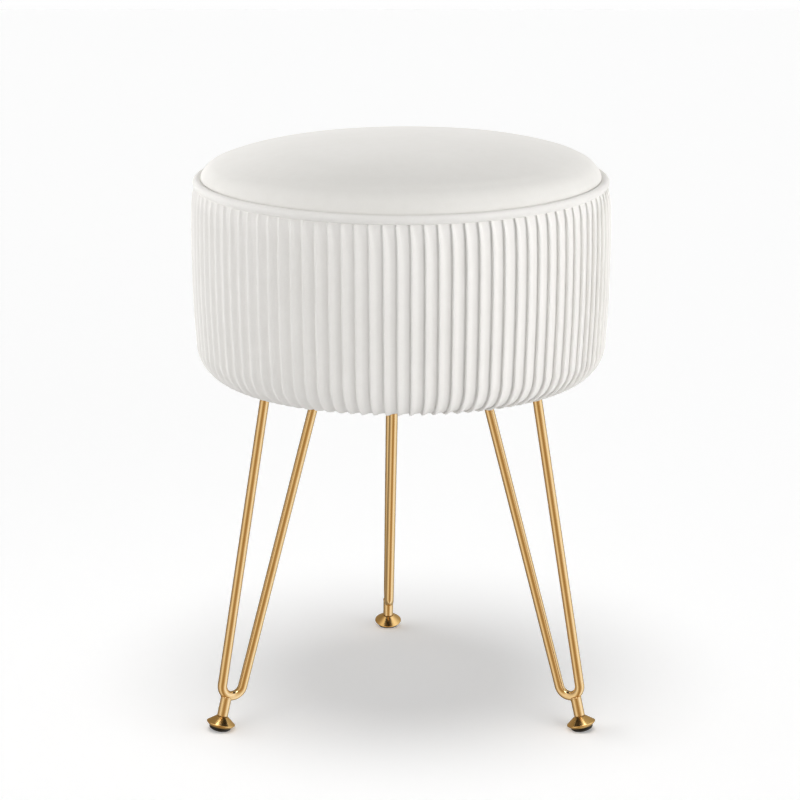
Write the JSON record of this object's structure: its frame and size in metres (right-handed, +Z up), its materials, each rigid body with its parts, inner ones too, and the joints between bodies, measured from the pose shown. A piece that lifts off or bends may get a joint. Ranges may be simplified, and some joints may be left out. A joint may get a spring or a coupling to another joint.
{
  "type": "vanity stool",
  "caption": "Round velvet vanity stool with a smooth domed seat, a piped seam, a knife-pleated drum side and gold hairpin legs that end in cone-shaped levelling feet.",
  "frame": {"origin": "on the floor under the middle of the round seat", "axes": "+Z up through the middle of the seat, -Y towards the front, where two legs stand, +X to the right as seen from the front"},
  "size_m": [0.351, 0.3623, 0.49],
  "materials": {
    "velvet": "short-pile velvet, off-white",
    "foam": "open-cell foam",
    "cord": "twisted cotton filler cord",
    "felt": "needled felt, black",
    "board": "raw plywood",
    "gold_metal": "satin gold plating on steel",
    "screw_steel": "zinc-plated steel",
    "stud_steel": "zinc-plated steel",
    "pad_rubber": "hard rubber, slightly glossy"
  },
  "bodies": {
    "stool": {"base_board": "board", "drum_wall": "board", "seat_board": "board", "side_foam": "foam", "top_foam": "foam", "top_cover": "velvet", "piping": "velvet", "piping_cord": "cord", "pleated_skirt": "velvet", "underside_felt": "felt", "leg_screws": "screw_steel", "leg_plate_front_left": "gold_metal", "leg_rod_front_left": "gold_metal", "leg_stem_front_left": "gold_metal", "leg_plate_front_right": "gold_metal", "leg_rod_front_right": "gold_metal", "leg_stem_front_right": "gold_metal", "leg_plate_back": "gold_metal", "leg_rod_back": "gold_metal", "leg_stem_back": "gold_metal"},
    "front_left_pad": {"foot_pad_front_left": "pad_rubber"},
    "front_left_screw": {"foot_cone_front_left": "gold_metal", "foot_stud_front_left": "stud_steel"},
    "front_right_pad": {"foot_pad_front_right": "pad_rubber"},
    "front_right_screw": {"foot_cone_front_right": "gold_metal", "foot_stud_front_right": "stud_steel"},
    "back_pad": {"foot_pad_back": "pad_rubber"},
    "back_screw": {"foot_cone_back": "gold_metal", "foot_stud_back": "stud_steel"}
  },
  "joints": [
    {"name": "front_left_foot_travel", "type": "slide", "parent": "stool", "child": "front_left_pad", "axis": [-0.2095, -0.121, -0.9703], "range_m": [0, 0.005]},
    {"name": "front_left_foot_turn", "type": "hinge", "parent": "front_left_pad", "child": "front_left_screw", "pos_m": [-0.15053, -0.08691, 0.01181], "axis": [-0.2095, -0.121, -0.9703], "range_deg": [0, 1800]},
    {"name": "front_right_foot_travel", "type": "slide", "parent": "stool", "child": "front_right_pad", "axis": [0.2095, -0.121, -0.9703], "range_m": [0, 0.005]},
    {"name": "front_right_foot_turn", "type": "hinge", "parent": "front_right_pad", "child": "front_right_screw", "pos_m": [0.15053, -0.08691, 0.01181], "axis": [0.2095, -0.121, -0.9703], "range_deg": [0, 1800]},
    {"name": "back_foot_travel", "type": "slide", "parent": "stool", "child": "back_pad", "axis": [-0.0169, 0.2413, -0.9703], "range_m": [0, 0.005]},
    {"name": "back_foot_turn", "type": "hinge", "parent": "back_pad", "child": "back_screw", "pos_m": [-0.01213, 0.17339, 0.01181], "axis": [-0.0169, 0.2413, -0.9703], "range_deg": [0, 1800]}
  ],
  "couplings": [
    {"joint": "front_left_foot_travel", "follows": "front_left_foot_turn", "m_per_rad": 0.00015915},
    {"joint": "front_right_foot_travel", "follows": "front_right_foot_turn", "m_per_rad": 0.00015915},
    {"joint": "back_foot_travel", "follows": "back_foot_turn", "m_per_rad": 0.00015915}
  ]
}
